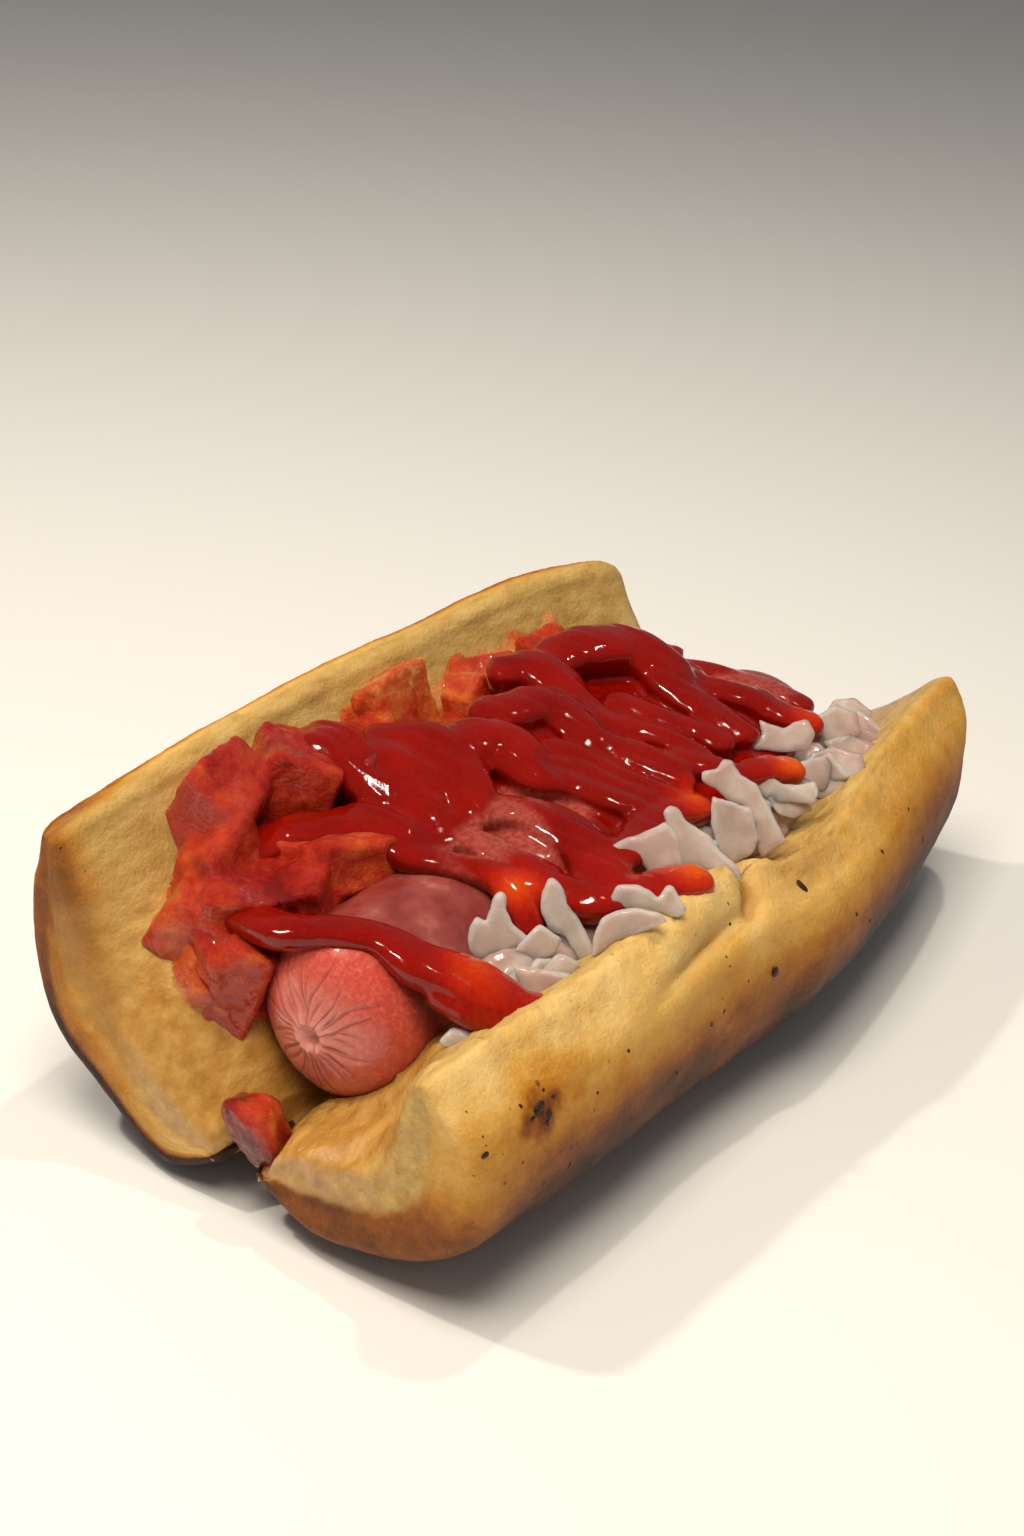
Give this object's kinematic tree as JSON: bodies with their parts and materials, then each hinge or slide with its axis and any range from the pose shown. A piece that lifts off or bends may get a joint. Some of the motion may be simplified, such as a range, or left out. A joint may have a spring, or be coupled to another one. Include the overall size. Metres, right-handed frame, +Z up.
{
  "type": "hot dog",
  "caption": "Hot dog in a split white bun with a frankfurter, diced tomato, chopped onion and a zigzag of ketchup.",
  "frame": {"origin": "middle of the base that the bun rests on", "axes": "+X along the hot dog from its near end to its far end, +Y towards the taller half of the bun, +Z up"},
  "size_m": [0.1506, 0.0877, 0.0547],
  "materials": {
    "bread": "soft baked crust, matte, with a pale open crumb",
    "sausage": "moist skin under glossy ketchup",
    "tomato": "wet cut flesh",
    "onion": "moist, translucent"
  },
  "bodies": {
    "root": {"bun": "bread", "sausage_with_ketchup": "sausage", "diced_tomato": "tomato", "chopped_onion": "onion", "slipped_tomato_piece": "tomato"}
  },
  "joints": []
}
